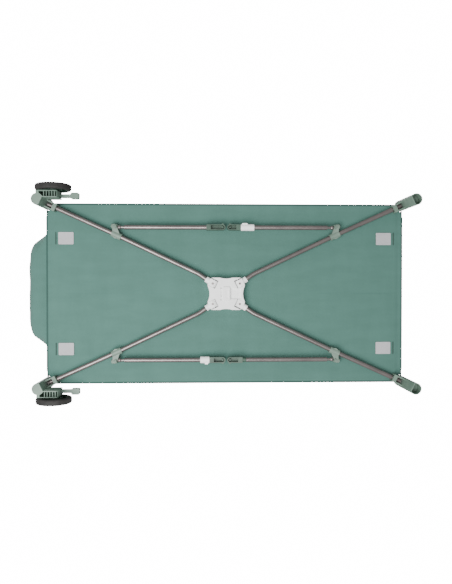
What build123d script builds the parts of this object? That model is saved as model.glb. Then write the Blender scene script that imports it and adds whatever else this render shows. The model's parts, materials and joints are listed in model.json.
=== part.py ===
from build123d import *
import math
import os

# Folding travel cot, all sizes in millimetres and degrees.
# X runs along the cot (wheels at -X, plain feet at +X), Y across it, Z up.
# The origin is on the ground, under the middle of the bounding box.
# Four bent struts join a central hub to the feet. When the hub is lifted, the struts swing
# upright, the four legs come together and each top rail folds down at its middle latch.

# Frame plan: leg axes, hub pivots and the pivots at the feet
LEG_X = 604
LEG_Y = 303
HUB_PIVOT_X = 45
HUB_PIVOT_Y = 34
FOOT_PIVOT_INSET = 25.7
STRUT_Z = 104

# Tubes and pins
LEG_R = 11
STRUT_R = 7.5
RAIL_R = 11
BAR_R = 7.5
TUBE_WALL = 1.3
PIN_R = 3.0
PIN_CLEAR = 0.06
OPEN_PIN_CLEAR = 0.6
FIT = 0.1

# Strut bends, in plan, from the hub outwards
STRUT_BENDS = [(92, 66), (350, 188)]
STRUT_BEND_R = 90
STRUT_END = 9

# Feet and wheel brackets
POST_R = 19
POST_FLAT = 12
POST_TOP = 165
LEG_BOTTOM = 40
LEG_TOP = 732
SHELL = 3.0
EAR_IN = 9
EAR_OUT = 13
EAR_REACH = 48
EAR_LOW = 88
EAR_HIGH = 117
BRIDGE_LENGTH = 12
BRACKET_BOTTOM = 30

# Wheels and brake
WHEEL_R = 57
WHEEL_WIDTH = 20
WHEEL_X = 559
WHEEL_Y = 343
RIM_R = 45
AXLE_R = 4
BOX_INNER_Y = 309
BOX_OUTER_Y = 331
BOX_END_X = 540
BOX_TOP = 100
RIBS = 5
RIB_TOP = 70
RATCHET_TEETH = 12
RATCHET_R = 24
TOOTH_R = 28
PEDAL_PIVOT_X = 578
PEDAL_Z = 88
PAWL_Z = 89

# Top rails, corners and latches
RAIL_Z = 745
RAIL_OUT = 14
LATCH_HALF = 30
LATCH_REACH = 44
CORNER_LOW = 715
CORNER_TOP = 768
SLOT_HALF = 11.8
LATCH_WALL = 3.2
BUTTON_TRAVEL = 4

# Hub
HUB_LENGTH = 124
HUB_WIDTH = 108
HUB_LOW = 90
HUB_SPLIT = 117.3
HUB_TOP = 120
KNUCKLE_R = 13
KNUCKLE_HALF = 12
HUB_PIN_HALF = 20
SCREW_R = 3.8
SLEEVE_END = 27

# Side bars under the floor
BAR_PIN_X = 353
BAR_PIN_Y = 220
BAR_DROP = 8
BAR_TILT = (2.6, -0.62)
BAR_MEET_X = 12
KNOB_R = 9.5
BOSS_R = 8
BOSS_START = 9
BOSS_END = 28
CLAMP_LENGTH = 32
CLAMP_WALL = 3.5

# Soft parts
FABRIC = 3
FLOOR_Z = 120.3
WALL_TOP = 731
POCKET_DEPTH = 76
POCKET_HALF = 202
POCKET_Y = -12
POCKET_LOW = 150
POCKET_HIGH = 370
PATCH = (51, 41)
PATCH_X = 534
PATCH_Y = 185
STRAP_WIDTH = 38

# Worked-out values
ALPHA = math.atan2(LEG_Y - HUB_PIVOT_Y, LEG_X - HUB_PIVOT_X)
FOOT_PIVOT_X = LEG_X - FOOT_PIVOT_INSET * math.cos(ALPHA)
FOOT_PIVOT_Y = LEG_Y - FOOT_PIVOT_INSET * math.sin(ALPHA)
STRUT_LENGTH = math.hypot(FOOT_PIVOT_X - HUB_PIVOT_X, FOOT_PIVOT_Y - HUB_PIVOT_Y)
LONG_HALF = STRUT_LENGTH * math.cos(ALPHA)
SHORT_HALF = STRUT_LENGTH * math.sin(ALPHA)
LONG_PIVOT_X = LATCH_HALF + LONG_HALF
SHORT_PIVOT_Y = LATCH_HALF + SHORT_HALF
LONG_RAIL_Y = LEG_Y + RAIL_OUT
SHORT_RAIL_X = LEG_X + RAIL_OUT
BAR_Z = STRUT_Z - BAR_DROP
OUTER_X = SHORT_RAIL_X + SLOT_HALF + SHELL
POCKET_X = LEG_X + POCKET_DEPTH
CENTRE_SHIFT = (POCKET_X - OUTER_X) / 2

SIDES_X = {"left": -1, "right": 1}
SIDES_Y = {"front": -1, "back": 1}


def box(x, y, z):
    """A box from its three (low, high) spans."""
    size = [b - a for a, b in (x, y, z)]
    return Pos(*[(a + b) / 2 for a, b in (x, y, z)]) * Box(*size)


def upright(radius, x, y, z):
    """A vertical cylinder at (x, y) over the (low, high) span z."""
    return Pos(x, y, (z[0] + z[1]) / 2) * Cylinder(radius, z[1] - z[0])


def along_y(radius, x, y, z):
    """A cylinder along Y at (x, z) over the (low, high) span y."""
    return Pos(x, (y[0] + y[1]) / 2, z) * Rot(90, 0, 0) * Cylinder(radius, y[1] - y[0])


def along_x(radius, x, y, z):
    """A cylinder along X at (y, z) over the (low, high) span x."""
    return Pos((x[0] + x[1]) / 2, y, z) * Rot(0, 90, 0) * Cylinder(radius, x[1] - x[0])


def prism(sketch, low, high):
    """A flat sketch raised from z = low to z = high."""
    return Pos(0, 0, low) * extrude(sketch, high - low)


def at_corner(part, side_x, side_y):
    """A piece drawn at the back right corner, mirrored to any corner."""
    if side_x < 0:
        part = mirror(part, Plane.YZ)
    if side_y < 0:
        part = mirror(part, Plane.XZ)
    return part


def from_leg(part):
    """Local frame at a leg: +X points away from the hub, along the strut."""
    return Pos(LEG_X, LEG_Y, 0) * Rot(0, 0, math.degrees(ALPHA)) * part


def from_hub(part):
    """Local frame at a hub pivot: +X points along the strut to the foot."""
    return Pos(HUB_PIVOT_X, HUB_PIVOT_Y, 0) * Rot(0, 0, math.degrees(ALPHA)) * part


def leg_tube(wheel):
    """Steel leg with the pins it carries: foot pivot, two rail pivots and, at a wheel, the axle."""
    tube = upright(LEG_R, LEG_X, LEG_Y, (LEG_BOTTOM, LEG_TOP))
    tube -= upright(LEG_R - TUBE_WALL, LEG_X, LEG_Y, (LEG_BOTTOM - 1, LEG_TOP + 1))
    foot_pin = from_leg(along_y(PIN_R, -FOOT_PIVOT_INSET, (-EAR_OUT - 1, EAR_OUT + 1), STRUT_Z))
    reach = SLOT_HALF + SHELL
    long_pin = along_y(PIN_R, LONG_PIVOT_X, (LONG_RAIL_Y - reach, LONG_RAIL_Y + reach), RAIL_Z)
    short_pin = along_x(PIN_R, (SHORT_RAIL_X - reach, SHORT_RAIL_X + reach), SHORT_PIVOT_Y, RAIL_Z)
    pieces = [tube, foot_pin, long_pin, short_pin]
    if wheel:
        axle = along_y(AXLE_R, WHEEL_X, (BOX_INNER_Y, WHEEL_Y + 11), WHEEL_R)
        axle += along_y(AXLE_R + 3, WHEEL_X, (WHEEL_Y + 10.5, WHEEL_Y + 12.5), WHEEL_R)
        brake_pin = along_y(PIN_R, PEDAL_PIVOT_X, (BOX_INNER_Y, BOX_OUTER_Y), PEDAL_Z)
        pieces += [axle, brake_pin]
    return Compound(pieces)


def ears():
    """Two cheeks that hold the strut's end, with a bridge under it that stops the strut at level."""
    cheeks = Part()
    for side in (-1, 1):
        low, high = sorted((side * EAR_IN, side * EAR_OUT))
        cheeks += box((-EAR_REACH, -POST_FLAT + 2), (low, high), (EAR_LOW, EAR_HIGH))
    bridge = box((-EAR_REACH, BRIDGE_LENGTH - EAR_REACH), (-EAR_OUT, EAR_OUT), (EAR_LOW, EAR_LOW + 8))
    shape = cheeks + bridge
    return shape - along_y(PIN_R, -FOOT_PIVOT_INSET, (-POST_R, POST_R), STRUT_Z)


def post(low):
    """The moulded post at the bottom of a leg: D-shaped, hollow below, bored above for the tube."""
    outline = Circle(POST_R) - Pos(-POST_FLAT - POST_R, 0) * Rectangle(2 * POST_R, 3 * POST_R)
    shape = prism(outline, low, POST_TOP)
    shape = fillet(shape.faces().sort_by(Axis.Z)[-1].edges(), 2)
    shape -= upright(LEG_R + FIT, 0, 0, (LEG_BOTTOM, POST_TOP + 1))
    return shape


def foot():
    """Plain foot: the post reaches the ground and stands on its D-shaped rim."""
    hollow = Circle(POST_R - SHELL) - Pos(-POST_FLAT - POST_R + SHELL, 0) * Rectangle(2 * POST_R, 3 * POST_R)
    shape = post(0) - prism(hollow, -1, LEG_BOTTOM - 8)
    return from_leg(shape + ears())


def wheel_bracket():
    """Wheel end foot: a short post with a ribbed box beside it that carries the axle and the pedal."""
    shape = from_leg(post(BRACKET_BOTTOM) + ears())
    outer = box((BOX_END_X, LEG_X + 6), (BOX_INNER_Y, BOX_OUTER_Y), (BRACKET_BOTTOM, BOX_TOP))
    outer = fillet(outer.edges().filter_by(Axis.Y), 8)
    wall = 2.5
    inner = box((BOX_END_X + wall, LEG_X - 6), (BOX_INNER_Y + wall, BOX_OUTER_Y - wall), (0, BOX_TOP - wall))
    shell = outer - inner
    step = (LEG_X - 12 - BOX_END_X) / (RIBS + 1)
    for n in range(1, RIBS + 1):
        x = BOX_END_X + n * step
        shell += box((x - 1, x + 1), (BOX_INNER_Y + 1, BOX_OUTER_Y - 1), (BRACKET_BOTTOM + 4, RIB_TOP))
    boss = along_y(AXLE_R + 5, WHEEL_X, (BOX_INNER_Y, BOX_OUTER_Y + 1), WHEEL_R)
    pedal_way = box((BOX_END_X - 1, BOX_END_X + 4), (BOX_INNER_Y + 3, BOX_OUTER_Y - 3), (66, BOX_TOP + 1))
    pawl_way = box((WHEEL_X - 6, WHEEL_X + 6), (BOX_OUTER_Y - 4, BOX_OUTER_Y + 1), (76, 97))
    shape += shell + boss
    shape -= pedal_way + pawl_way
    shape -= upright(LEG_R + FIT, LEG_X, LEG_Y, (LEG_BOTTOM, POST_TOP + 1))
    shape -= along_y(AXLE_R, WHEEL_X, (BOX_INNER_Y - 1, BOX_OUTER_Y + 2), WHEEL_R)
    shape -= along_y(PIN_R, PEDAL_PIVOT_X, (BOX_INNER_Y - 1, BOX_OUTER_Y + 1), PEDAL_Z)
    return shape


def brake_pedal():
    """Foot lever inside the ribbed box, with a pawl that drops between the wheel's ratchet teeth."""
    arm = box((508, PEDAL_PIVOT_X), (314, 326), (82, 94))
    arm += along_y(6, PEDAL_PIVOT_X, (314, 326), PEDAL_Z)
    pad = box((482, 509), (310, 331), (79, 95))
    pad = fillet(pad.edges().filter_by(Axis.Z), 5)
    pawl = along_y(PIN_R, WHEEL_X, (325, WHEEL_Y - 5), PAWL_Z)
    return arm + pad + pawl - along_y(PIN_R + PIN_CLEAR, PEDAL_PIVOT_X, (300, 340), PEDAL_Z)


def wheel_rim():
    """Moulded rim: hub, web with round windows, rim band and the ratchet ring on the inner side."""
    half = WHEEL_WIDTH / 2
    rim = Cylinder(RIM_R, WHEEL_WIDTH - 4) - Cylinder(RIM_R - 5, WHEEL_WIDTH)
    web = Pos(0, 0, 2.5) * Cylinder(RIM_R - 4, 5)
    windows = 6
    for n in range(windows):
        turn = Rot(0, 0, 360 * (n + 0.5) / windows)
        web -= turn * Pos((RIM_R + TOOTH_R) / 2 - 1, 0, 2.5) * Cylinder(5.5, 8)
    shape = rim + web + Cylinder(10, WHEEL_WIDTH - 2)
    ring_height = half - 1
    ring = Cylinder(RATCHET_R, ring_height) - Cylinder(RATCHET_R - 4, ring_height + 1)
    for n in range(RATCHET_TEETH):
        turn = Rot(0, 0, 360 * (n + 0.5) / RATCHET_TEETH)
        ring += turn * Pos((RATCHET_R + TOOTH_R) / 2 - 1, 0, 0) * Box(TOOTH_R - RATCHET_R + 2, 4, ring_height)
    shape += Pos(0, 0, -ring_height / 2 + 0.5) * ring
    shape -= Cylinder(AXLE_R + PIN_CLEAR, 3 * WHEEL_WIDTH)
    return Pos(WHEEL_X, WHEEL_Y, WHEEL_R) * Rot(-90, 0, 0) * shape


def tyre():
    """Soft tyre with rounded shoulders on the rim."""
    shape = Cylinder(WHEEL_R, WHEEL_WIDTH) - Cylinder(RIM_R, WHEEL_WIDTH + 1)
    outer = shape.edges().filter_by(GeomType.CIRCLE).group_by(SortBy.RADIUS)[-1]
    shape = fillet(outer, 6)
    return Pos(WHEEL_X, WHEEL_Y, WHEEL_R) * Rot(-90, 0, 0) * shape


def strut_path():
    """The strut's centre line, from near the hub pivot to past the foot pivot."""
    start = Vector(HUB_PIVOT_X, HUB_PIVOT_Y, STRUT_Z)
    bends = [Vector(x, y, STRUT_Z) for x, y in STRUT_BENDS]
    foot_pivot = Vector(FOOT_PIVOT_X, FOOT_PIVOT_Y, STRUT_Z)
    first = start + (bends[0] - start).normalized() * (KNUCKLE_R + 3)
    last = foot_pivot + (foot_pivot - bends[-1]).normalized() * STRUT_END
    return FilletPolyline(first, *bends, last, radius=STRUT_BEND_R)


def sweep_round(path, radius):
    """A round rod along a path."""
    return sweep(Plane(origin=path @ 0, z_dir=path % 0) * Circle(radius), path=path)


def strut_tube():
    """Bent steel strut, with the screw that fixes it in the hub knuckle."""
    path = strut_path()
    tube = sweep_round(path, STRUT_R) - sweep_round(path, STRUT_R - TUBE_WALL)
    foot_pivot = from_leg(along_y(PIN_R + PIN_CLEAR, -FOOT_PIVOT_INSET, (-POST_R, POST_R), STRUT_Z))
    screw = upright(SCREW_R, HUB_PIVOT_X, HUB_PIVOT_Y, (HUB_LOW + 1.4, HUB_LOW + 4))
    return Compound([tube - foot_pivot, screw])


def hub_knuckle():
    """White end piece that turns in a corner of the hub and holds the strut."""
    barrel = along_y(KNUCKLE_R, 0, (-KNUCKLE_HALF, KNUCKLE_HALF), STRUT_Z)
    barrel += box((0, KNUCKLE_R), (-KNUCKLE_HALF, KNUCKLE_HALF), (STRUT_Z - KNUCKLE_R, STRUT_Z + KNUCKLE_R))
    shape = from_hub(barrel)
    first = Vector(HUB_PIVOT_X, HUB_PIVOT_Y, STRUT_Z)
    toward = (Vector(*STRUT_BENDS[0], STRUT_Z) - first).normalized()
    line = Line(first, first + toward * SLEEVE_END)
    shape += sweep_round(line, STRUT_R + 2.5)
    shape -= sweep_round(Line(first + toward * (KNUCKLE_R + 3), first + toward * 40), STRUT_R + FIT)
    shape -= from_hub(along_y(PIN_R + PIN_CLEAR, 0, (-20, 20), STRUT_Z))
    return shape - upright(SCREW_R + FIT, HUB_PIVOT_X, HUB_PIVOT_Y, (0, HUB_LOW + 4))


def bar_bracket():
    """Clamp round the strut with a boss on its outer side that holds the side bar's swivel pin."""
    path = strut_path()
    bend = Vector(*STRUT_BENDS[1], STRUT_Z)
    run = (Vector(FOOT_PIVOT_X, FOOT_PIVOT_Y, STRUT_Z) - bend).normalized()
    clamp = sweep_round(Line(bend - run * 2, bend + run * CLAMP_LENGTH), STRUT_R + CLAMP_WALL)
    middle = bend + run * (CLAMP_LENGTH / 2)
    boss_middle = swivel_plane().from_local_coords(Vector(0, 0, (BOSS_START + BOSS_END) / 2))
    heel = Pos(middle.X, middle.Y) * Circle(CLAMP_LENGTH / 2 - 4)
    web = make_hull((Pos(boss_middle.X, boss_middle.Y) * Circle(BOSS_R - 1)).edges() + heel.edges())
    shape = clamp + prism(web, boss_middle.Z - BOSS_R + 2, boss_middle.Z + BOSS_R - 1)
    shape += swivel(BOSS_R, BOSS_START, BOSS_END)
    shape -= sweep_round(path, STRUT_R + FIT)
    return shape - swivel(PIN_R - 0.5, 0, BOSS_END + 5)


def swivel_plane():
    """Plane at the bar's outer end, square to the line that the bar turns about."""
    ux, uy = math.cos(ALPHA), math.sin(ALPHA)
    lean_x, lean_y = BAR_TILT
    axis = Vector(lean_x * ux - lean_y * uy, lean_x * uy + lean_y * ux, 1)
    return Plane(origin=(BAR_PIN_X, BAR_PIN_Y, BAR_Z), z_dir=axis)


def swivel(radius, start, end):
    """A cylinder on the bar's swivel line, measured outwards from the ball."""
    return swivel_plane() * Pos(0, 0, (start + end) / 2) * Cylinder(radius, end - start)


def bar_half(knob_length):
    """Half of a side bar: ball end with its pin, tube, and the channel-shaped knob at the middle hinge."""
    ball = Pos(BAR_PIN_X, BAR_PIN_Y, BAR_Z) * Sphere(7)
    neck = along_x(4.6, (BAR_PIN_X - 20, BAR_PIN_X), BAR_PIN_Y, BAR_Z)
    tube_start = BAR_MEET_X + knob_length
    tube = along_x(BAR_R, (tube_start - 12, BAR_PIN_X - 16), BAR_PIN_Y, BAR_Z)
    rod = ball + neck + tube
    outline = Pos(BAR_MEET_X, BAR_PIN_Y) * Circle(KNOB_R)
    outline += Pos(BAR_MEET_X + knob_length / 2, BAR_PIN_Y) * Rectangle(knob_length, 2 * KNOB_R)
    outline += Pos(BAR_MEET_X, BAR_PIN_Y + KNOB_R) * Circle(3.5)
    knob = prism(outline, BAR_Z - KNOB_R, BAR_Z + KNOB_R)
    slot = Pos(BAR_MEET_X + 1, BAR_PIN_Y) * Circle(KNOB_R - 3)
    slot += Pos(BAR_MEET_X + knob_length / 2 - 8, BAR_PIN_Y) * Rectangle(knob_length - 14, 2 * KNOB_R - 6)
    knob -= prism(slot, BAR_Z - KNOB_R - 1, BAR_Z + KNOB_R - 4)
    knob -= along_x(BAR_R, (tube_start - 12, tube_start + 5), BAR_PIN_Y, BAR_Z)
    hinge_pin = upright(PIN_R, BAR_MEET_X, BAR_PIN_Y, (BAR_Z - 6, BAR_Z + KNOB_R - 4))
    return Compound([rod, knob, hinge_pin, swivel(PIN_R - 0.5 - PIN_CLEAR, 0, BOSS_END - 2) - rod])


def bar_slider(knob_length, length):
    """White locking sleeve that slides along the side bar, away from the hinge."""
    start = BAR_MEET_X + knob_length + 0.4
    sleeve = along_x(BAR_R + 3.5, (start, start + length), BAR_PIN_Y, BAR_Z)
    grip = box((start + 4, start + length / 2), (BAR_PIN_Y, BAR_PIN_Y + 14), (BAR_Z - 7, BAR_Z + 7))
    grip = fillet(grip.edges().filter_by(Axis.Z), 2)
    return sleeve + grip - along_x(BAR_R + 0.3, (0, BAR_PIN_X), BAR_PIN_Y, BAR_Z)


def top_corner():
    """Moulded corner on the leg's top, with a slot for each rail's end, open below and inwards."""
    wall = SLOT_HALF + SHELL
    long_arm = box((LONG_PIVOT_X - 18, OUTER_X), (LONG_RAIL_Y - wall, LONG_RAIL_Y + wall), (CORNER_LOW, CORNER_TOP))
    short_arm = box((SHORT_RAIL_X - wall, OUTER_X), (SHORT_PIVOT_Y - 18, LONG_RAIL_Y + wall), (CORNER_LOW, CORNER_TOP))
    block = long_arm + short_arm
    corner = block.edges().filter_by(Axis.Z).sort_by(Axis.X)[-2:].sort_by(Axis.Y)[-1]
    block = fillet(corner, 24)
    block = fillet(block.faces().sort_by(Axis.Z)[-1].edges(), 5)
    block += upright(LEG_R + 5, LEG_X, LEG_Y, (CORNER_LOW - 25, CORNER_TOP - 8))
    slot_top = RAIL_Z + 14.6
    long_slot = box((0, LEG_X - 15), (LONG_RAIL_Y - SLOT_HALF, LONG_RAIL_Y + SLOT_HALF), (0, slot_top))
    short_slot = box((SHORT_RAIL_X - SLOT_HALF, SHORT_RAIL_X + SLOT_HALF), (0, LEG_Y - 0.5), (0, slot_top))
    long_pin = along_y(PIN_R, LONG_PIVOT_X, (LONG_RAIL_Y - 30, LONG_RAIL_Y + 30), RAIL_Z)
    short_pin = along_x(PIN_R, (SHORT_RAIL_X - 30, SHORT_RAIL_X + 30), SHORT_PIVOT_Y, RAIL_Z)
    bore = upright(LEG_R + FIT, LEG_X, LEG_Y, (0, LEG_TOP))
    return block - long_slot - short_slot - long_pin - short_pin - bore


def rail(pivot, offset):
    """Half of a top rail along X, with its pin at the middle latch."""
    tube = along_x(RAIL_R, (LATCH_HALF - 7, pivot + 8), offset, RAIL_Z)
    tube -= along_x(RAIL_R - TUBE_WALL, (0, pivot + 9), offset, RAIL_Z)
    tube -= along_y(PIN_R + PIN_CLEAR, pivot, (offset - 20, offset + 20), RAIL_Z)
    tube -= along_y(PIN_R, LATCH_HALF, (offset - 20, offset + 20), RAIL_Z)
    reach = SLOT_HALF + LATCH_WALL
    return Compound([tube, along_y(PIN_R, LATCH_HALF, (offset - reach, offset + reach), RAIL_Z)])


def latch(offset, open_side):
    """Middle latch of a top rail along X: two cheeks, a floor and a bridge, with a slot for the button."""
    reach = SLOT_HALF + LATCH_WALL
    shape = box((-LATCH_REACH, LATCH_REACH), (offset - reach, offset + reach), (RAIL_Z - 18, RAIL_Z + 13))
    shape = fillet(shape.edges().filter_by(Axis.Y), 6)
    for side in (-1, 1):
        low, high = sorted((side * 16, side * (LATCH_REACH + 1)))
        shape -= box((low, high), (offset - SLOT_HALF, offset + SLOT_HALF), (RAIL_Z - 13.6, RAIL_Z + 20))
        clear = OPEN_PIN_CLEAR if side == open_side else PIN_CLEAR
        shape -= along_y(PIN_R + clear, side * LATCH_HALF, (offset - 20, offset + 20), RAIL_Z)
    return shape - box((-12.4, 12.4), (offset - 8.4, offset + 8.4), (0, RAIL_Z - 18 + 14))


def latch_button(offset):
    """Push button under the latch; it is pressed upwards to let the rail fold."""
    shape = box((-12, 12), (offset - 8, offset + 8), (RAIL_Z - 24, RAIL_Z - 18 + 14 - BUTTON_TRAVEL - 1))
    return fillet(shape.faces().sort_by(Axis.Z)[0].edges(), 2.5)


def quarter_turn(part):
    """Turns a piece drawn along X to lie along Y."""
    return mirror(part, Plane(origin=(0, 0, 0), z_dir=(1, -1, 0)))


def hub_outline(grow):
    """Hub shape in plan: a rounded rectangle with hollowed sides."""
    shape = RectangleRounded(HUB_LENGTH + grow, HUB_WIDTH + grow, 17)
    for side in (-1, 1):
        shape -= Pos(side * (HUB_LENGTH / 2 + 52), 0) * Circle(58)
        shape -= Pos(0, side * (HUB_WIDTH / 2 + 73)) * Circle(76)
    return shape


def hub_base():
    """White lower shell of the hub, with corner slots for the knuckles and the moulded underside."""
    shape = prism(hub_outline(0), HUB_LOW, HUB_SPLIT)
    shape = fillet(shape.faces().sort_by(Axis.Z)[0].edges(), 2)
    inside = RectangleRounded(62, 62, 5)
    shape -= prism(inside, HUB_LOW + 10, HUB_SPLIT + 1)
    slot = along_y(KNUCKLE_R + 0.8, 0, (-KNUCKLE_HALF - 0.5, KNUCKLE_HALF + 0.5), STRUT_Z)
    slot += box((0, 60), (-KNUCKLE_HALF - 0.5, KNUCKLE_HALF + 0.5), (STRUT_Z - 30, STRUT_Z + 30))
    slot += box((-KNUCKLE_R - 1, 60), (-KNUCKLE_HALF - 0.5, KNUCKLE_HALF + 4), (0, STRUT_Z + KNUCKLE_R))
    pin_hole = along_y(PIN_R, 0, (-HUB_PIN_HALF, HUB_PIN_HALF), STRUT_Z)
    for side_x in (-1, 1):
        for side_y in (-1, 1):
            shape -= at_corner(from_hub(slot + pin_hole), side_x, side_y)
    recess = RectangleRounded(36, 36, 4)
    shape -= prism(Pos(31, 0) * recess, 0, HUB_LOW + 6)
    shape -= prism(Pos(-17, 0) * Rectangle(3, 20), 0, HUB_LOW + 5)
    for side in (-1, 1):
        shape -= upright(3, -17, side * 19, (0, HUB_LOW + 7))
    return shape


def hub_cover():
    """White plate that closes the hub above."""
    return fillet(prism(hub_outline(0), HUB_SPLIT, HUB_TOP).faces().sort_by(Axis.Z)[-1].edges(), 1)


def hub_block():
    """Raised block in the middle of the hub's underside."""
    block = prism(RectangleRounded(25, 46, 4), HUB_LOW - 5, HUB_LOW)
    block = fillet(block.faces().sort_by(Axis.Z)[0].edges(), 1.5)
    return block - prism(Pos(3, 0) * RectangleRounded(9, 30, 2), 0, HUB_LOW - 3)


def hub_pins():
    """The four steel pivot pins of the hub."""
    pin = from_hub(along_y(PIN_R, 0, (-HUB_PIN_HALF + 1, HUB_PIN_HALF - 1), STRUT_Z))
    return Compound([at_corner(pin, x, y) for x in (-1, 1) for y in (-1, 1)])


def lift_strap():
    """Webbing loop above the floor, by which the hub is pulled up."""
    half = 40
    top = FLOOR_Z + 40
    outer = box((-half, half), (-STRAP_WIDTH / 2, STRAP_WIDTH / 2), (HUB_TOP, top))
    outer = fillet(outer.edges().filter_by(Axis.Y).group_by(Axis.Z)[-1], 14)
    inner = box((-half + FABRIC, half - FABRIC), (-STRAP_WIDTH, STRAP_WIDTH), (0, top - FABRIC))
    inner = fillet(inner.edges().filter_by(Axis.Y).group_by(Axis.Z)[-1], 11)
    return outer - inner


def floor_fabric():
    """Fabric floor, notched round the posts and slit for the strap."""
    shape = box((-LEG_X + 4, LEG_X - 4), (-LEG_Y + 1, LEG_Y - 1), (FLOOR_Z, FLOOR_Z + FABRIC))
    for side_x in (-1, 1):
        shape -= box(sorted((side_x * 36, side_x * 41)), (-20, 20), (0, 200))
        for side_y in (-1, 1):
            shape -= upright(POST_R + 1, side_x * LEG_X, side_y * LEG_Y, (0, 200))
    return shape


def wall():
    """The two half panels of fabric and net that meet at a leg."""
    span_z = (FLOOR_Z + FABRIC + 0.2, WALL_TOP)
    long_panel = box((0.2, LEG_X - POST_R - 3), (LEG_Y - 4, LEG_Y - 1), span_z)
    short_panel = box((LEG_X - 7, LEG_X - 4), (0.2, LEG_Y - POST_R - 3), span_z)
    return Compound([long_panel, short_panel])


def end_pocket():
    """Storage pouch on the wheel end: a closed, rounded solid."""
    inner = -(LEG_X - 3)
    shape = box((-POCKET_X, inner), (POCKET_Y - POCKET_HALF, POCKET_Y + POCKET_HALF), (POCKET_LOW, POCKET_HIGH))
    shape = fillet(shape.edges().filter_by(Axis.X), 36)
    return fillet(shape.faces().sort_by(Axis.X)[0].edges(), 30)


def floor_patches():
    """Four grip-tape patches under the floor."""
    patch = box(
        (PATCH_X - PATCH[0] / 2, PATCH_X + PATCH[0] / 2),
        (PATCH_Y - PATCH[1] / 2, PATCH_Y + PATCH[1] / 2),
        (FLOOR_Z - 1, FLOOR_Z - 0.1),
    )
    return Compound([at_corner(patch, x, y) for x in (-1, 1) for y in (-1, 1)])


def build():
    """Every node of the cot, by name, in its place."""
    nodes = {
        "hub_base": hub_base(),
        "hub_cover": hub_cover(),
        "hub_block": hub_block(),
        "hub_pins": hub_pins(),
        "lift_strap": lift_strap(),
        "floor_fabric": floor_fabric(),
        "floor_patches": floor_patches(),
        "end_pocket": end_pocket(),
    }
    struts = {
        "strut_tube": strut_tube(),
        "hub_knuckle": Compound([hub_knuckle(), bar_bracket()]),
        "top_corner": top_corner(),
        "wall": wall(),
    }
    wheel_parts = {"wheel_bracket": wheel_bracket(), "wheel_rim": wheel_rim(), "tyre": tyre()}
    wheel_parts["brake_pedal"] = brake_pedal()
    foot_part = foot()
    for y_name, side_y in SIDES_Y.items():
        for x_name, side_x in SIDES_X.items():
            corner = f"{y_name}_{x_name}"
            for name, part in struts.items():
                nodes[f"{name}_{corner}"] = at_corner(part, side_x, side_y)
            nodes[f"leg_tube_{corner}"] = at_corner(leg_tube(side_x < 0), side_x, side_y)
            long_rail = rail(LONG_PIVOT_X, LONG_RAIL_Y)
            nodes[f"rail_{y_name}_{x_name}"] = at_corner(long_rail, side_x, side_y)
            short_rail = quarter_turn(rail(SHORT_PIVOT_Y, SHORT_RAIL_X))
            nodes[f"rail_{x_name}_{y_name}"] = at_corner(short_rail, side_x, side_y)
            slider_side = 1 if side_y < 0 else -1
            has_slider = side_x == slider_side
            knob = (36 if side_y < 0 else 44) if has_slider else (54 if side_y < 0 else 42)
            nodes[f"bar_{corner}"] = at_corner(bar_half(knob), side_x, side_y)
            if has_slider:
                slider = bar_slider(knob, 44 if side_y < 0 else 30)
                nodes[f"bar_slider_{y_name}"] = at_corner(slider, side_x, side_y)
        nodes[f"foot_{y_name}"] = at_corner(foot_part, 1, side_y)
        for name, part in wheel_parts.items():
            nodes[f"{name}_{y_name}"] = at_corner(part, -1, side_y)
        nodes[f"latch_{y_name}"] = at_corner(latch(LONG_RAIL_Y, 1), 1, side_y)
        nodes[f"latch_button_{y_name}"] = at_corner(latch_button(LONG_RAIL_Y), 1, side_y)
    for x_name, side_x in SIDES_X.items():
        short_latch = quarter_turn(latch(SHORT_RAIL_X, 1))
        short_button = quarter_turn(latch_button(SHORT_RAIL_X))
        nodes[f"latch_{x_name}"] = at_corner(short_latch, side_x, 1)
        nodes[f"latch_button_{x_name}"] = at_corner(short_button, side_x, 1)
    return {name: Pos(CENTRE_SHIFT, 0, 0) * part for name, part in nodes.items()}


os.makedirs("parts", exist_ok=True)
for node_name, node_part in build().items():
    export_step(node_part, f"parts/{node_name}.step")
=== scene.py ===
# %% [markdown]
# # A folding travel cot
# The frame is steel and moulded plastic, and comes from the CAD model as it is. Blender adds
# the cloth: the floor, the walls with their net windows, the padded rail covers, the end pouch
# and the lift strap. It also gives every part the finish of its real material.

# %% Load the frame
import json
import math

import bpy
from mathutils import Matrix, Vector, noise


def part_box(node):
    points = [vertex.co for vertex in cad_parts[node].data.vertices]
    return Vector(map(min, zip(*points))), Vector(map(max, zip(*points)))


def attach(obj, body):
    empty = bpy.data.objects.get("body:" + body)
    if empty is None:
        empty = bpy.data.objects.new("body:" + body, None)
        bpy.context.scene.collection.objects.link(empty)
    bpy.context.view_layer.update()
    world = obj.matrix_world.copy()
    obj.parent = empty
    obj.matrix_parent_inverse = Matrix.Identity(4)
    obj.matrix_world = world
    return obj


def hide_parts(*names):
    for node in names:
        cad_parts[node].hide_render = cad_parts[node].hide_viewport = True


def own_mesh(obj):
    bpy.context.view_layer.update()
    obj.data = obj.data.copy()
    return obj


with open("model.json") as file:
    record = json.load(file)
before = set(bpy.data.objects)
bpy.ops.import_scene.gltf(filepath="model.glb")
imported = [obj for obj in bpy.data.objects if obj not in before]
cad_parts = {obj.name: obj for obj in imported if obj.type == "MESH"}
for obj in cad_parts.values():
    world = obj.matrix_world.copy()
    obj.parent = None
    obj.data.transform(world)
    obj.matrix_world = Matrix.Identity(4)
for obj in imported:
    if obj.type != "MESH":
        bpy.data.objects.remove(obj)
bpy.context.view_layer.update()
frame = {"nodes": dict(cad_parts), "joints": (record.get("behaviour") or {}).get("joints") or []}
nodes = frame["nodes"]
MM = 0.001

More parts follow.
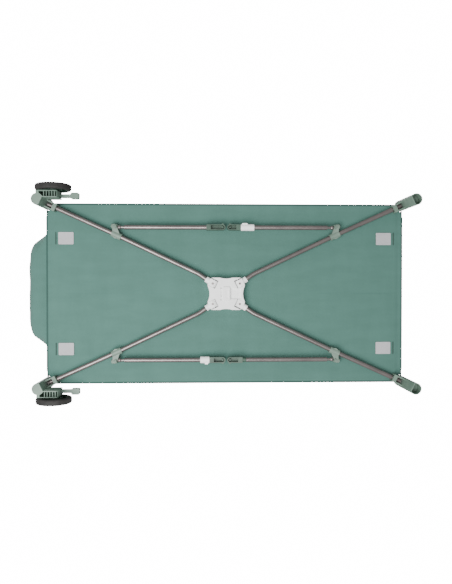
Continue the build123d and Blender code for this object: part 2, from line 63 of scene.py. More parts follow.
# %% [markdown]
# The fold decides how far the cloth has to gather. The legs stand at the corners of a
# rectangle, and each strut turns about a pivot at the foot. When the struts stand almost
# upright, the plan of the struts shrinks by the cosine of the fold angle. Here the pivots are
# read from the joints, with the floor's middle and half sizes.

# %% Fold measures
joints = {joint["name"]: joint for joint in frame["joints"]}
foot_pivot = Vector(joints["fold"]["pos_m"])
hub_pivot = Vector(joints["hub_level"]["pos_m"])
LEFT, RIGHT = "left", "right"
FRONT, BACK = "front", "back"
low_floor, high_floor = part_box("floor_fabric")
MIDDLE = (low_floor + high_floor) / 2
half_x = (high_floor.x - low_floor.x) / 2
half_y = (high_floor.y - low_floor.y) / 2

# %% [markdown]
# The underside is the interesting side of a cot, so the camera looks straight up, from nearly
# under the hub and about two metres away. A small tilt shows the walls' outer edges.

# %% Camera
SENSOR = 36 * MM
FOCAL_SHARE = 570.5 / 452
camera_data = bpy.data.cameras.new("camera")
camera_data.sensor_fit = "HORIZONTAL"
camera_data.lens = SENSOR / MM * FOCAL_SHARE
camera = bpy.data.objects.new("camera", camera_data)
bpy.context.scene.collection.objects.link(camera)
camera.location = (-0.037, -0.0312, -1.801)
camera.rotation_euler = (math.pi - 0.0134, 0.0315, 0)
bpy.context.scene.camera = camera

# %% [markdown]
# A pale studio: a large floor that shows only from above, so that the cot can also be seen
# from below, a bright surround, and broad soft lights: one below the floor and two above it.

# %% One function that adds a shader node
def hex_colour(code):
    """sRGB hex to linear colour."""
    parts = [int(code[i : i + 2], 16) / 255 for i in (1, 3, 5)]
    linear = [c / 12.92 if c <= 0.04045 else ((c + 0.055) / 1.055) ** 2.4 for c in parts]
    return (*linear, 1)


def add(tree, kind, values=None, links=None, **settings):
    """Adds a node with its settings, the values of its inputs and what is linked to them."""
    made = tree.nodes.new(kind)
    for name, value in settings.items():
        setattr(made, name, value)
    for name, value in (values or {}).items():
        made.inputs[name].default_value = value
    for name, source in (links or {}).items():
        tree.links.new(source, made.inputs[name])
    return made


# %% Studio
def blank(name):
    """A material with an empty node tree."""
    material = bpy.data.materials.new(name)
    material.use_nodes = True
    material.node_tree.nodes.clear()
    return material


def make_stage():
    bpy.ops.object.select_all(action="DESELECT")
    bpy.ops.mesh.primitive_plane_add(size=14, location=(0, 0, -0.0005))
    ground = bpy.context.object
    ground.name = "studio_floor"
    ground.visible_shadow = False
    ground.visible_diffuse = False
    ground.visible_glossy = False
    material = blank("studio_paint")
    tree = material.node_tree
    paint = add(tree, "ShaderNodeBsdfDiffuse", {"Color": hex_colour("#e9e9e7")})
    clear = add(tree, "ShaderNodeBsdfTransparent")
    side = add(tree, "ShaderNodeNewGeometry")
    both = add(
        tree,
        "ShaderNodeMixShader",
        links={0: side.outputs["Backfacing"], 1: paint.outputs[0], 2: clear.outputs[0]},
    )
    add(tree, "ShaderNodeOutputMaterial", links={"Surface": both.outputs[0]})
    ground.data.materials.append(material)


def make_light(name, place, target, size, power):
    data = bpy.data.lights.new(name, "AREA")
    data.shape = "SQUARE"
    data.size = size
    data.energy = power
    light = bpy.data.objects.new(name, data)
    bpy.context.scene.collection.objects.link(light)
    light.location = place
    light.rotation_euler = (Vector(target) - Vector(place)).to_track_quat("-Z", "Y").to_euler()


def make_world():
    world = bpy.data.worlds.new("studio")
    bpy.context.scene.world = world
    world.use_nodes = True
    tree = world.node_tree
    tree.nodes.clear()
    glow = add(tree, "ShaderNodeBackground", {"Color": (1, 1, 1, 1), "Strength": 0.62})
    seen = add(tree, "ShaderNodeBackground", {"Color": (1, 1, 1, 1), "Strength": 16.0})
    ray = add(tree, "ShaderNodeLightPath")
    both = add(
        tree,
        "ShaderNodeMixShader",
        links={0: ray.outputs["Is Camera Ray"], 1: glow.outputs[0], 2: seen.outputs[0]},
    )
    add(tree, "ShaderNodeOutputWorld", links={"Surface": both.outputs[0]})


make_stage()
FLOOR_HEIGHT = (0, 0, 0.1)
COT_MIDDLE = (0, 0, 0.4)
make_light("light_below", (-0.7, 0.6, -1.9), FLOOR_HEIGHT, 1.6, 96)
make_light("light_above", (-1.6, -2.0, 2.8), COT_MIDDLE, 2.2, 95)
make_light("light_back", (2.2, 1.8, 2.2), COT_MIDDLE, 1.8, 45)
make_world()

# %% [markdown]
# ## Finishes
# Every finish begins with what the real surface is. Moulded plastic has a fine grain and
# softer colour variation, painted tube has a smooth coat with small scratches, and cloth has a
# weave. Patterns read Object coordinates, in metres, so a spacing is given in millimetres.

# %% Shared pattern pieces
def position(tree):
    return add(tree, "ShaderNodeTexCoord").outputs["Object"]


def grains(tree, spacing, detail=2.0, squeeze=(1, 1, 1)):
    """Noise whose grains are about this many metres wide, drawn out along an axis by squeeze."""
    place = add(tree, "ShaderNodeMapping", {"Scale": squeeze}, {"Vector": position(tree)})
    return add(
        tree,
        "ShaderNodeTexNoise",
        {"Scale": 1 / spacing, "Detail": detail},
        {"Vector": place.outputs[0]},
    ).outputs["Fac"]


def between(tree, factor, first, second):
    """A colour that runs from first to second as factor goes from 0.35 to 0.65."""
    spread = add(
        tree,
        "ShaderNodeMapRange",
        {"From Min": 0.35, "From Max": 0.65},
        {"Value": factor},
    )
    return mix_colour(tree, spread.outputs[0], hex_colour(first), hex_colour(second))


def mix_colour(tree, factor, first, second):
    """Mixes two colours; each is a fixed colour or an output of another node."""
    made = tree.nodes.new("ShaderNodeMix")
    made.data_type = "RGBA"
    tree.links.new(factor, made.inputs[0])
    for socket, value in ((made.inputs[6], first), (made.inputs[7], second)):
        if isinstance(value, bpy.types.NodeSocket):
            tree.links.new(value, socket)
        else:
            socket.default_value = value
    return made.outputs[2]


def surface(material, colour, roughness, bump=None, depth=0.0, **values):
    """The principled shader with its colour, roughness and bump."""
    tree = material.node_tree
    links = {"Base Color": colour}
    if isinstance(roughness, bpy.types.NodeSocket):
        links["Roughness"] = roughness
    else:
        values["Roughness"] = roughness
    if bump is not None:
        bumped = add(tree, "ShaderNodeBump", {"Strength": 1.0, "Distance": depth}, {"Height": bump})
        links["Normal"] = bumped.outputs[0]
    shader = add(tree, "ShaderNodeBsdfPrincipled", values, links)
    add(tree, "ShaderNodeOutputMaterial", links={"Surface": shader.outputs[0]})
    return material


def scaled(tree, value, low, high):
    return add(
        tree, "ShaderNodeMapRange", {"To Min": low, "To Max": high}, {"Value": value}
    ).outputs[0]


# %% Moulded plastic, for the hub, feet, corners, latches and wheels
def moulded(name, light, dark, roughness):
    """Injection-moulded plastic: a fine spark-eroded grain and faint flow marks."""
    material = blank(name)
    tree = material.node_tree
    flow = grains(tree, 0.04, 3.0)
    colour = between(tree, flow, dark, light)
    rough = scaled(tree, grains(tree, 0.006), roughness - 0.06, roughness + 0.08)
    return surface(material, colour, rough, grains(tree, 1.2 * MM), 0.08 * MM)


white_abs = moulded("white_moulded_abs", "#f6f7f6", "#eeefee", 0.42)
sage_pp = moulded("sage_moulded_polypropylene", "#697f71", "#5d7366", 0.5)
forest_pp = moulded("dark_green_moulded_polypropylene", "#2c4236", "#1f3228", 0.45)


# %% Tyre rubber
def make_rubber():
    """Soft rubber: nearly black, matt, a little dusty where it rolls."""
    material = blank("black_tyre_rubber")
    tree = material.node_tree
    colour = between(tree, grains(tree, 0.012, 4.0), "#161514", "#262423")
    return surface(material, colour, 0.78, grains(tree, 1.5 * MM), 0.15 * MM)


rubber = make_rubber()


# %% Painted steel tube
def make_tube_paint():
    """Steel tube under a smooth warm grey coat, with faint draw lines."""
    material = blank("grey_lacquered_steel_tube")
    tree = material.node_tree
    colour = between(tree, grains(tree, 0.05, 3.0), "#726b6a", "#7e7775")
    rough = scaled(tree, grains(tree, 0.004), 0.24, 0.4)
    return surface(
        material, colour, rough, grains(tree, 2.5 * MM), 0.04 * MM, Metallic=0.75
    )


tube_paint = make_tube_paint()


# %% Turned steel pins
def make_pin_steel():
    """Zinc-plated steel: a pale grey metal with a fine turned finish."""
    material = blank("zinc_plated_steel")
    tree = material.node_tree
    colour = between(tree, grains(tree, 0.004, 3.0), "#9fa2a4", "#b4b6b8")
    return surface(material, colour, 0.34, grains(tree, 0.6 * MM), 0.03 * MM, Metallic=1.0)


pin_steel = make_pin_steel()

# %% [markdown]
# Two CAD nodes hold two materials each: a hub knuckle is white and the clamp for the side bar
# is sage, and a side bar is steel with a green knob at the middle. The material chooses by the
# distance from the cot's middle, which Object coordinates give.

# %% Two-material finishes
def from_middle(tree, limit):
    """0 near the cot's middle and 1 further than limit from it, in plan along X."""
    split = add(tree, "ShaderNodeSeparateXYZ", links={0: position(tree)})
    off = add(
        tree, "ShaderNodeMath", {1: MIDDLE.x}, {0: split.outputs["X"]}, operation="SUBTRACT"
    )
    size = add(tree, "ShaderNodeMath", links={0: off.outputs[0]}, operation="ABSOLUTE")
    return add(
        tree, "ShaderNodeMath", {1: limit}, {0: size.outputs[0]}, operation="GREATER_THAN"
    ).outputs[0]


def make_knuckle_finish():
    """White near the hub, sage further out."""
    material = blank("white_knuckle_and_sage_clamp")
    tree = material.node_tree
    far = from_middle(tree, 0.2)
    white = between(tree, grains(tree, 0.04, 3.0), "#eeefee", "#f6f7f6")
    sage = between(tree, grains(tree, 0.04, 3.0), "#617468", "#6d8074")
    return surface(
        material, mix_colour(tree, far, white, sage), 0.48, grains(tree, 1.2 * MM), 0.08 * MM
    )


def make_bar_finish():
    """Dark green plastic at the middle hinge, lacquered steel further out."""
    material = blank("steel_bar_with_green_knob")
    tree = material.node_tree
    far = from_middle(tree, 0.066)
    green = between(tree, grains(tree, 0.02, 3.0), "#2c4236", "#3d5547")
    steel = between(tree, grains(tree, 0.05, 3.0), "#726b6a", "#7e7775")
    rough = scaled(tree, far, 0.5, 0.32)
    colour = mix_colour(tree, far, green, steel)
    made = surface(material, colour, rough, grains(tree, 1.5 * MM), 0.04 * MM)
    shader = next(n for n in tree.nodes if n.type == "BSDF_PRINCIPLED")
    tree.links.new(scaled(tree, far, 0.0, 0.75), shader.inputs["Metallic"])
    return made


knuckle_finish = make_knuckle_finish()
bar_finish = make_bar_finish()

# %% [markdown]
# The cloth is a plain polyester weave. The real thread spacing, half a millimetre, would not
# show, so the threads are drawn 2.4 mm apart. Slow streaks along the threads stand for the
# small changes in tension that woven cloth always has.

# %% Woven cloth
THREAD = 2.4 * MM


def threads(tree, spacing):
    """Rounded bumps along each axis, added up, so that any flat piece shows a crossed weave."""
    split = add(tree, "ShaderNodeSeparateXYZ", links={0: position(tree)})
    total = None
    for axis in ("X", "Y", "Z"):
        phase = add(
            tree,
            "ShaderNodeMath",
            {1: 2 * math.pi / spacing},
            {0: split.outputs[axis]},
            operation="MULTIPLY",
        )
        wave = add(tree, "ShaderNodeMath", links={0: phase.outputs[0]}, operation="SINE")
        if total is None:
            total = wave.outputs[0]
        else:
            total = add(tree, "ShaderNodeMath", links={0: total, 1: wave.outputs[0]}).outputs[0]
    return total


def cloth(name, light, dark, depth=0.12 * MM, spacing=THREAD, roughness=0.85):
    """Plain weave polyester, with streaks, a soft sheen and a matt face."""
    material = blank(name)
    tree = material.node_tree
    streaks = grains(tree, 0.03, 4.0, (0.25, 1, 1))
    warp = between(tree, streaks, dark, light)
    weft = between(tree, grains(tree, 0.05, 3.0, (1, 0.3, 1)), dark, light)
    half = scaled(tree, threads(tree, spacing), 0.35, 0.65)
    colour = mix_colour(tree, half, warp, weft)
    made = surface(material, colour, roughness, threads(tree, spacing), depth)
    shader = next(n for n in tree.nodes if n.type == "BSDF_PRINCIPLED")
    shader.inputs["Sheen Weight"].default_value = 0.12
    shader.inputs["Sheen Roughness"].default_value = 0.5
    return made


sage_cloth = cloth("sage_woven_polyester", "#456e64", "#40675d")
binding_cloth = cloth("dark_sage_binding_tape", "#2f534b", "#2b4c45", 0.2 * MM, 1.8 * MM)
net_thread = cloth("dark_sage_net", "#4c6c63", "#45645b", 0.05 * MM, 1.5 * MM)
grip_tape = cloth("pale_grey_loop_tape", "#c5c5c8", "#bababd", 0.3 * MM, 2.0 * MM, 0.95)
strap_web = cloth("sage_strap_webbing", "#46665d", "#3d5b52", 0.35 * MM, 3.0 * MM, 0.8)
# Slit colour: binding tape darkened with painted shade that stands for the slit's opening.
slit_binding_and_painted_shade = cloth("slit_binding_with_painted_shade", "#2f4a42", "#28413a", 0.1 * MM)


# %% Finishes of the carried-over CAD nodes
FINISHES = [
    (("leg_tube", "strut_tube", "rail_"), tube_paint),
    (("hub_knuckle",), knuckle_finish),
    (("bar_slider",), white_abs),
    (("bar_",), bar_finish),
    (("hub_pins",), pin_steel),
    (("hub_",), white_abs),
    (("tyre",), rubber),
    (("wheel_rim", "latch_front", "latch_back", "latch_left", "latch_right"), forest_pp),
    (("foot", "wheel_bracket", "brake_pedal", "top_corner", "latch_button"), sage_pp),
]


def finish_for(name):
    return next((finish for starts, finish in FINISHES if name.startswith(starts)), None)


for name, node in nodes.items():
    finish = finish_for(name)
    if finish is not None:
        node.data.materials.clear()
        node.data.materials.append(finish)

# %% [markdown]
# ## Helpers for shaping
# Each new piece starts as a primitive at its size and place, and is then shaped in edit mode.
# Faces are picked by where they are, because a script has no mouse.

# %% Shaping helpers
def begin(name):
    """Names the primitive that was just added and applies its place."""
    piece = bpy.context.object
    piece.name = name
    bpy.ops.object.transform_apply(location=True, rotation=True, scale=True)
    return piece


def deselect():
    bpy.ops.object.select_all(action="DESELECT")


def pick(piece, test):
    """In edit mode with only the faces whose centre passes the test selected."""
    bpy.ops.object.mode_set(mode="EDIT")
    bpy.ops.mesh.select_mode(type="FACE")
    bpy.ops.mesh.select_all(action="DESELECT")
    bpy.ops.object.mode_set(mode="OBJECT")
    for face in piece.data.polygons:
        face.select = test(face.center)
    bpy.ops.object.mode_set(mode="EDIT")


def drop(piece, test):
    """Deletes the faces whose centre passes the test."""
    pick(piece, test)
    bpy.ops.mesh.delete(type="FACE")
    bpy.ops.object.mode_set(mode="OBJECT")


def cut(place, direction, clear=True):
    """Cuts the active piece with a plane and, if asked, clears the side that direction points to."""
    bpy.ops.object.mode_set(mode="EDIT")
    bpy.ops.mesh.select_all(action="SELECT")
    bpy.ops.mesh.bisect(plane_co=place, plane_no=direction, clear_outer=clear)
    bpy.ops.object.mode_set(mode="OBJECT")


def thicken(piece, thickness, offset=0.0):
    shell = piece.modifiers.new("thickness", "SOLIDIFY")
    shell.thickness = thickness
    shell.offset = offset
    bpy.ops.object.modifier_apply(modifier=shell.name)


def apply_modifier(piece, kind, **settings):
    added = piece.modifiers.new(kind.lower(), kind)
    for name, value in settings.items():
        setattr(added, name, value)
    bpy.ops.object.modifier_apply(modifier=added.name)


def dress(piece, *materials):
    piece.data.materials.clear()
    for material in materials:
        piece.data.materials.append(material)


def ripple(point, size, height, seed):
    """A smooth random height at a point, for folds of this size in metres."""
    return height * noise.noise(Vector(point) / size + Vector((seed, 2.3 * seed, 0.7 * seed)))


# %% [markdown]
# ## The floor
# The real floor is one sheet under tension. On the folding frame it has to follow four struts
# that all turn about different lines, so it is modelled as four quarters that meet at seams
# under the hub. Each quarter rides on its own strut.
# The edge is bound with darker tape and a sewn channel runs along each end.

# %% Floor quarters
CLOTH_CELL = 10 * MM
FLOOR_Z = (low_floor.z + high_floor.z) / 2
EDGE_TAPE = 6 * MM
CHANNEL = 17 * MM


def side_sign(name):
    return -1 if name in (LEFT, FRONT) else 1


ALONG = (foot_pivot - hub_pivot).normalized()


def pivot_of(sx, sy):
    """The pivot at one foot, mirrored from the one that the fold joint names."""
    return Vector(
        (
            MIDDLE.x + sx * abs(foot_pivot.x - MIDDLE.x),
            MIDDLE.y + sy * abs(foot_pivot.y - MIDDLE.y),
            FLOOR_Z,
        )
    )


def floor_quarter(x_name, y_name, seed):
    sx, sy = side_sign(x_name), side_sign(y_name)
    deselect()
    centre = (MIDDLE.x + sx * half_x / 2, MIDDLE.y + sy * half_y / 2, FLOOR_Z)
    bpy.ops.mesh.primitive_grid_add(
        x_subdivisions=round(half_x / CLOTH_CELL),
        y_subdivisions=round(half_y / CLOTH_CELL),
        size=1,
        location=centre,
    )
    bpy.context.object.scale = (half_x, half_y, 1)
    piece = begin(f"floor_quarter_{y_name}_{x_name}")
    outward = Vector((sx * abs(ALONG.x), sy * abs(ALONG.y), 0))
    cut(pivot_of(sx, sy) + outward * 2 * MM, outward)
    cut((MIDDLE.x + sx * (half_x - CHANNEL), 0, 0), (sx, 0, 0), clear=False)
    cut((MIDDLE.x + sx * (half_x - EDGE_TAPE), 0, 0), (sx, 0, 0), clear=False)
    cut((0, MIDDLE.y + sy * (half_y - EDGE_TAPE), 0), (0, sy, 0), clear=False)
    for vertex in piece.data.vertices:
        x, y = abs(vertex.co.x - MIDDLE.x), abs(vertex.co.y - MIDDLE.y)
        free = min(1, (half_x - x) / 0.08, (half_y - y) / 0.08)
        near_hub = min(1, max(0, math.hypot(x, y) / 0.09 - 0.9))
        vertex.co.z += free * near_hub * abs(ripple(vertex.co, 0.13, 1.6 * MM, seed))
        if abs(half_x - x - CHANNEL) < 0.5 * MM:
            vertex.co.z += 0.9 * MM
    thicken(piece, 1.6 * MM)
    dress(piece, sage_cloth, binding_cloth)
    for face in piece.data.polygons:
        x, y = abs(face.center.x - MIDDLE.x), abs(face.center.y - MIDDLE.y)
        face.material_index = int(x > half_x - EDGE_TAPE or y > half_y - EDGE_TAPE)
    bpy.ops.object.shade_smooth_by_angle(angle=math.radians(35))
    return piece


def gather(piece, body):
    """Lets a floor piece turn with its strut."""
    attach(piece, body)
    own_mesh(piece)


CORNERS = [(x, y) for y in (FRONT, BACK) for x in (LEFT, RIGHT)]
for seed, (x_name, y_name) in enumerate(CORNERS):
    quarter = floor_quarter(x_name, y_name, seed + 1)
    gather(quarter, f"strut_{y_name}_{x_name}")
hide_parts("floor_fabric")

# %% [markdown]
# ## Patches and slits under the floor
# Four squares of loop tape are sewn under the floor, each beside a bound slit. The tape is a
# thin plate with soft corners, so a plane with bevelled corners and a little thickness does.
# Each slit is a thin dark plate: binding tape, with painted shade where the slit opens.

# %% Patches and slits
patch_low, patch_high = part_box("floor_patches")
PATCH_SIZE = (51 * MM, 41 * MM)
SLIT_WIDTH = 3.2 * MM
SLIT_INSET = 32 * MM


def thin_plate(name, centre, size, corner, thickness, material):
    """A flat plate with round corners."""
    deselect()
    bpy.ops.mesh.primitive_plane_add(size=1, location=centre)
    bpy.context.object.scale = (size[0], size[1], 1)
    piece = begin(name)
    bpy.ops.object.mode_set(mode="EDIT")
    bpy.ops.mesh.select_mode(type="VERT")
    bpy.ops.mesh.select_all(action="SELECT")
    bpy.ops.mesh.bevel(offset=corner, segments=5, affect="VERTICES")
    bpy.ops.object.mode_set(mode="OBJECT")
    thicken(piece, thickness)
    apply_modifier(piece, "BEVEL", width=thickness * 0.3, segments=2, limit_method="ANGLE")
    dress(piece, material)
    return piece


for x_name, y_name in CORNERS:
    sx, sy = side_sign(x_name), side_sign(y_name)
    body = f"strut_{y_name}_{x_name}"
    edge_x = patch_high.x if sx > 0 else patch_low.x
    edge_y = patch_high.y if sy > 0 else patch_low.y
    place = (edge_x - sx * PATCH_SIZE[0] / 2, edge_y - sy * PATCH_SIZE[1] / 2, patch_low.z)
    patch = thin_plate(f"loop_patch_{y_name}_{x_name}", place, PATCH_SIZE, 3 * MM, 1.2 * MM, grip_tape)
    gather(patch, body)
    slit_place = (MIDDLE.x + sx * (half_x - SLIT_INSET), place[1], patch_low.z + 0.2 * MM)
    slit_size = (SLIT_WIDTH, PATCH_SIZE[1])
    # A dark plate stands for the slit: binding tape plus painted shade of its opening.
    slit = thin_plate(
        f"floor_slit_{y_name}_{x_name}", slit_place, slit_size, 1 * MM, 0.8 * MM, slit_binding_and_painted_shade
    )
    gather(slit, body)
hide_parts("floor_patches")

# %% [markdown]
# ## The walls
# A travel cot's walls are cloth with a net window, so that air passes and the child can be
# seen. Each wall is a fine grid with the window cut out, hung from top to bottom with soft
# vertical waves. Tape covers the window's edge, and the net is real cord: a diagonal grid
# turned to strands by the Wireframe modifier. Its mesh is drawn 11 mm wide, several times
# coarser than the real one, so that it shows.

# %% Wall measures
wall_low = Vector(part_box("wall_front_left")[0])
wall_high = Vector(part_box("wall_back_right")[1])
PANEL = 3 * MM
WINDOW_SIDE = 95 * MM
WINDOW_LOW = wall_low.z + 120 * MM
WINDOW_HIGH = wall_high.z - 95 * MM
WINDOW_CORNER = 45 * MM
TAPE_HALF = 9 * MM
NET_PITCH = 11 * MM
NET_CORD = 1.8 * MM
WALL_CLOTH = 1.4 * MM
TAPE_THICKNESS = 3.0 * MM
LEG_GAP = 22 * MM


def wall_plan(side):
    """Start and end of a wall in plan, the direction along it and the one out of it."""
    if side in (FRONT, BACK):
        y = wall_low.y + PANEL / 2 if side == FRONT else wall_high.y - PANEL / 2
        start, end = Vector((wall_low.x + LEG_GAP, y, 0)), Vector((wall_high.x - LEG_GAP, y, 0))
        outward = Vector((0, side_sign(side), 0))
    else:
        x = wall_low.x + PANEL / 2 if side == LEFT else wall_high.x - PANEL / 2
        start, end = Vector((x, wall_low.y + LEG_GAP, 0)), Vector((x, wall_high.y - LEG_GAP, 0))
        outward = Vector((side_sign(side), 0, 0))
    return start, end, (end - start).normalized(), outward


def rounded_inside(u, z, low_u, high_u, grow=0.0):
    """True inside the window's rounded outline, grown by grow."""
    radius = WINDOW_CORNER
    du = max(low_u + radius - u, u - (high_u - radius), 0)
    dz = max(WINDOW_LOW + radius - z, z - (WINDOW_HIGH - radius), 0)
    inside_box = low_u - grow < u < high_u + grow and WINDOW_LOW - grow < z < WINDOW_HIGH + grow
    return inside_box and (du == 0 or dz == 0 or math.hypot(du, dz) < radius + grow)


def stand_up(piece, start, direction):
    """Moves a sheet drawn in X and Y (Y for height) to stand on its wall's line."""
    for vertex in piece.data.vertices:
        u, z, off = vertex.co.x, vertex.co.y, vertex.co.z
        normal = Vector((direction.y, -direction.x, 0))
        vertex.co = start + direction * u + Vector((0, 0, z)) + normal * off


def flat_grid(name, width, low, high, cell):
    deselect()
    bpy.ops.mesh.primitive_grid_add(
        x_subdivisions=max(2, round(width / cell)),
        y_subdivisions=max(2, round((high - low) / cell)),
        size=1,
        location=(width / 2, (low + high) / 2, 0),
    )
    bpy.context.object.scale = (width, high - low, 1)
    return begin(name)


def wave(u, z, width, seed):
    """How far the cloth stands off its flat plane: soft upright waves that end at the edges."""
    edge = min(1, u / 0.06, (width - u) / 0.06)
    rise = min(1, (z - wall_low.z) / 0.1, (wall_high.z - z) / 0.1)
    return max(edge, 0) * max(rise, 0) * ripple((u, z * 0.25, 0), 0.09, 3.0 * MM, seed)


# %% Wall cloth, net and tape
def wall_cloth(side, width, start, direction, seed):
    piece = flat_grid(f"wall_cloth_{side}", width, wall_low.z, wall_high.z, CLOTH_CELL)
    drop(piece, lambda c: rounded_inside(c.x, c.y, WINDOW_SIDE, width - WINDOW_SIDE))
    for vertex in piece.data.vertices:
        vertex.co.z = wave(vertex.co.x, vertex.co.y, width, seed)
    stand_up(piece, start, direction)
    thicken(piece, WALL_CLOTH)
    dress(piece, sage_cloth)
    bpy.ops.object.shade_smooth_by_angle(angle=math.radians(40))
    return piece


def wall_net(side, width, start, direction, seed):
    window_width = width - 2 * WINDOW_SIDE
    reach = math.hypot(window_width, WINDOW_HIGH - WINDOW_LOW)
    count = round(reach / NET_PITCH)
    deselect()
    middle_z = (WINDOW_LOW + WINDOW_HIGH) / 2
    bpy.ops.mesh.primitive_grid_add(
        x_subdivisions=count,
        y_subdivisions=count,
        size=count * NET_PITCH,
        location=(width / 2, middle_z, 0),
        rotation=(0, 0, math.radians(45)),
    )
    piece = begin(f"wall_net_{side}")
    grow = TAPE_HALF * 0.5
    cut((WINDOW_SIDE - grow, 0, 0), (-1, 0, 0))
    cut((width - WINDOW_SIDE + grow, 0, 0), (1, 0, 0))
    cut((0, WINDOW_LOW - grow, 0), (0, -1, 0))
    cut((0, WINDOW_HIGH + grow, 0), (0, 1, 0))
    drop(piece, lambda c: not rounded_inside(c.x, c.y, WINDOW_SIDE, width - WINDOW_SIDE, grow))
    for vertex in piece.data.vertices:
        vertex.co.z = wave(vertex.co.x, vertex.co.y, width, seed)
    stand_up(piece, start, direction)
    apply_modifier(piece, "WIREFRAME", thickness=NET_CORD, use_even_offset=False)
    dress(piece, net_thread)
    return piece


def outline_points(width):
    """The window's rounded outline, with arcs at its corners."""
    low_u, high_u = WINDOW_SIDE, width - WINDOW_SIDE
    r = WINDOW_CORNER
    steps = 8
    points = []
    centres = [
        (high_u - r, WINDOW_HIGH - r, 0),
        (low_u + r, WINDOW_HIGH - r, 90),
        (low_u + r, WINDOW_LOW + r, 180),
        (high_u - r, WINDOW_LOW + r, 270),
    ]
    for u, z, turn in centres:
        for n in range(steps + 1):
            angle = math.radians(turn + 90 * n / steps)
            points.append((u + r * math.cos(angle), z + r * math.sin(angle)))
    dense = []
    for (u0, z0), (u1, z1) in zip(points, points[1:] + points[:1]):
        parts = max(1, round(math.hypot(u1 - u0, z1 - z0) / (2 * CLOTH_CELL)))
        dense += [(u0 + (u1 - u0) * k / parts, z0 + (z1 - z0) * k / parts) for k in range(parts)]
    return dense


def window_tape(side, width, start, direction, seed):
    """Bias tape folded round the window's edge, a flat ring with soft edges."""
    line = outline_points(width)
    mesh = bpy.data.meshes.new(f"window_tape_{side}")
    verts, faces = [], []
    count = len(line)
    for n, (u, z) in enumerate(line):
        before, after = Vector(line[n - 1]), Vector(line[(n + 1) % count])
        run = (after - before).normalized()
        out = Vector((run.y, -run.x))
        for reach in (-TAPE_HALF, TAPE_HALF):
            at_u, at_z = u + out.x * reach, z + out.y * reach
            verts.append((at_u, at_z, wave(at_u, at_z, width, seed)))
    for n in range(count):
        m = (n + 1) % count
        faces.append((2 * n, 2 * n + 1, 2 * m + 1, 2 * m))
    mesh.from_pydata(verts, [], faces)
    piece = bpy.data.objects.new(f"window_tape_{side}", mesh)
    bpy.context.scene.collection.objects.link(piece)
    deselect()
    piece.select_set(True)
    bpy.context.view_layer.objects.active = piece
    stand_up(piece, start, direction)
    thicken(piece, TAPE_THICKNESS)
    apply_modifier(piece, "BEVEL", width=0.7 * MM, segments=2, limit_method="ANGLE")
    dress(piece, binding_cloth)
    bpy.ops.object.shade_smooth_by_angle(angle=math.radians(40))
    return piece


# %% Hang the four walls
WALL_BODY = {
    FRONT: "leg_front_left",
    BACK: "leg_back_left",
    LEFT: "leg_front_left",
    RIGHT: "leg_front_right",
}


def hang(piece, side):
    """A wall piece stays at its leg."""
    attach(piece, WALL_BODY[side])
    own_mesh(piece)


STANDS_FOR = {
    FRONT: "wall_front_left",
    BACK: "wall_back_right",
    LEFT: "wall_back_left",
    RIGHT: "wall_front_right",
}
for seed, side in enumerate((FRONT, BACK, LEFT, RIGHT)):
    start, end, direction, outward = wall_plan(side)
    width = (end - start).length
    panel = wall_cloth(side, width, start, direction, seed + 11)
    net = wall_net(side, width, start, direction, seed + 11)
    tape = window_tape(side, width, start, direction, seed + 11)
    for piece in (panel, net, tape):
        hang(piece, side)
    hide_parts(STANDS_FOR[side])
    print(side, "wall", round(width, 3), "net faces", len(net.data.polygons))

# %% [markdown]
# ## Rail covers
# The top rails are wrapped in a padded sleeve of the same cloth, so that the child can hold
# them. A sleeve is a tube with soft rings where the padding bunches, and a welt below.

# %% Rail covers
COVER_R = 15 * MM
COVER_WELT = 3 * MM
LATCH_CLEAR = 48 * MM
CORNER_CLEAR = 28 * MM


def rail_cover(rail_name, body, seed):
    low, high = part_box(rail_name)
    middle = (low + high) / 2
    along = Vector((1, 0, 0)) if high.x - low.x > high.y - low.y else Vector((0, 1, 0))
    to_middle = MIDDLE - middle
    inward = along if along.dot(to_middle) > 0 else -along
    half = (high - low).dot(along) / 2
    near = middle + inward * half
    far = middle - inward * half
    latch_end = near - inward * (LATCH_CLEAR - 23 * MM)
    corner_end = far + inward * CORNER_CLEAR
    centre = (latch_end + corner_end) / 2
    length = (latch_end - corner_end).length
    deselect()
    rings = max(8, round(length / (7 * MM)))
    bpy.ops.mesh.primitive_grid_add(
        x_subdivisions=rings, y_subdivisions=28, size=1, location=(0, 0, 0)
    )
    piece = begin(f"cover_{rail_name}")
    side = Vector((-along.y, along.x, 0))
    for vertex in piece.data.vertices:
        t, turn = vertex.co.x, (vertex.co.y + 0.5) * 2 * math.pi
        end = min(1, (0.5 - abs(t)) * length / (12 * MM))
        radius = COVER_R - 2.4 * MM * (1 - end) ** 2
        ring = ripple((t * length, 0, 0), 0.02, 1.1 * MM, seed)
        puff = ripple((t * length, math.cos(turn) / 30, math.sin(turn) / 30), 0.05, 1.5 * MM, seed)
        welt = COVER_WELT * math.exp(-(((turn - math.pi) / 0.12) ** 2))
        reach = radius + end * (ring + puff) + welt
        vertex.co = (
            centre
            + along * (t * length)
            + side * (reach * math.sin(turn))
            + Vector((0, 0, reach * math.cos(turn)))
        )
    bpy.ops.object.mode_set(mode="EDIT")
    bpy.ops.mesh.select_all(action="SELECT")
    bpy.ops.mesh.remove_doubles(threshold=0.02 * MM)
    bpy.ops.mesh.normals_make_consistent(inside=False)
    bpy.ops.object.mode_set(mode="OBJECT")
    thicken(piece, 1.5 * MM, -1.0)
    dress(piece, sage_cloth)
    bpy.ops.object.shade_smooth()
    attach(piece, body)
    return piece


for seed, name in enumerate(sorted(n for n in nodes if n.startswith("rail_"))):
    rail_cover(name, name, seed + 31)

# %% [markdown]
# ## The end pouch
# A storage pouch hangs on the wheel end. It is a pocket of cloth with a pleated bottom and an
# elastic top edge: a block whose faces are subdivided and swollen, then opened at the top.

# %% End pouch
pouch_low, pouch_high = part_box("end_pocket")


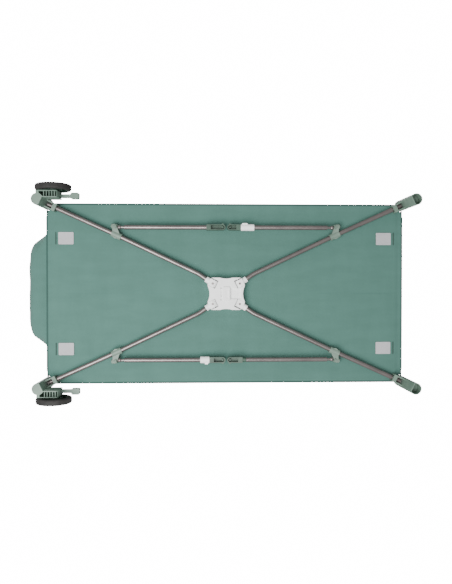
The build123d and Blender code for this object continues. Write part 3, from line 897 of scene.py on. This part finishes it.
def make_pouch():
    deselect()
    size = pouch_high - pouch_low
    centre = (pouch_low + pouch_high) / 2
    bpy.ops.mesh.primitive_cube_add(size=1, location=centre)
    bpy.context.object.scale = size
    piece = begin("end_pouch")
    bpy.ops.object.mode_set(mode="EDIT")
    bpy.ops.mesh.select_all(action="SELECT")
    bpy.ops.mesh.subdivide(number_cuts=23)
    bpy.ops.object.mode_set(mode="OBJECT")
    power = 5.0
    for vertex in piece.data.vertices:
        u = (vertex.co.y - centre.y) / (size.y / 2)
        w = (vertex.co.z - centre.z) / (size.z / 2)
        depth = (pouch_high.x - vertex.co.x) / size.x
        round_off = (abs(u) ** power + max(0, -w) ** power) ** (1 / power)
        shrink = 1 - 0.16 * depth * round_off**3
        vertex.co.y = centre.y + (vertex.co.y - centre.y) * shrink
        vertex.co.z = centre.z + (vertex.co.z - centre.z) * (1 - 0.12 * depth * max(0, -w) ** 3)
        mouth = 1 - 0.45 * max(0, w) ** 2
        edge = 1 - 0.35 * abs(u) ** power - 0.3 * max(0, -w) ** power
        vertex.co.x = pouch_high.x - (pouch_high.x - vertex.co.x) * mouth * edge
        pleat = ripple((0, vertex.co.y, vertex.co.z * 0.35), 0.035, 3.0 * MM, 5)
        vertex.co.x += depth * pleat
    top = pouch_high.z - 1 * MM
    inner_x = pouch_high.x - 3 * MM
    drop(piece, lambda c: c.z > top and c.x < inner_x)
    thicken(piece, 1.5 * MM, -1.0)
    dress(piece, sage_cloth, binding_cloth)
    for face in piece.data.polygons:
        face.material_index = int(face.center.z > pouch_high.z - 12 * MM)
    bpy.ops.object.shade_smooth_by_angle(angle=math.radians(45))
    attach(piece, "leg_front_left")
    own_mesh(piece)
    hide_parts("end_pocket")
    return piece


make_pouch()

# %% [markdown]
# ## The lift strap
# A loop of webbing stands above the hub, sewn through the floor. Webbing is flat and stiff, so
# it is a thin strip laid along an arch, with its thickness added afterwards.

# %% Lift strap
strap_low, strap_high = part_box("lift_strap")


def make_strap():
    half = (strap_high.x - strap_low.x) / 2
    wide = strap_high.y - strap_low.y
    rise = strap_high.z - strap_low.z
    centre = (strap_low + strap_high) / 2
    deselect()
    bpy.ops.mesh.primitive_grid_add(x_subdivisions=64, y_subdivisions=6, size=1, location=(0, 0, 0))
    piece = begin("lift_strap_webbing")
    roundness = 4.0
    for vertex in piece.data.vertices:
        angle = math.pi * (vertex.co.x + 0.5)
        c, s = math.cos(angle), math.sin(angle)
        reach = (abs(c) ** roundness + abs(s) ** roundness) ** (-1 / roundness)
        y = vertex.co.y * wide
        x = -(half - 1 * MM) * c * reach
        z = (rise - 1 * MM) * s * reach
        vertex.co = (centre.x + x, centre.y + y, strap_low.z + z)
    thicken(piece, 2.4 * MM)
    apply_modifier(piece, "BEVEL", width=0.6 * MM, segments=2, limit_method="ANGLE")
    dress(piece, strap_web)
    bpy.ops.object.shade_smooth_by_angle(angle=math.radians(40))
    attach(piece, "hub")
    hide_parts("lift_strap")
    return piece


make_strap()
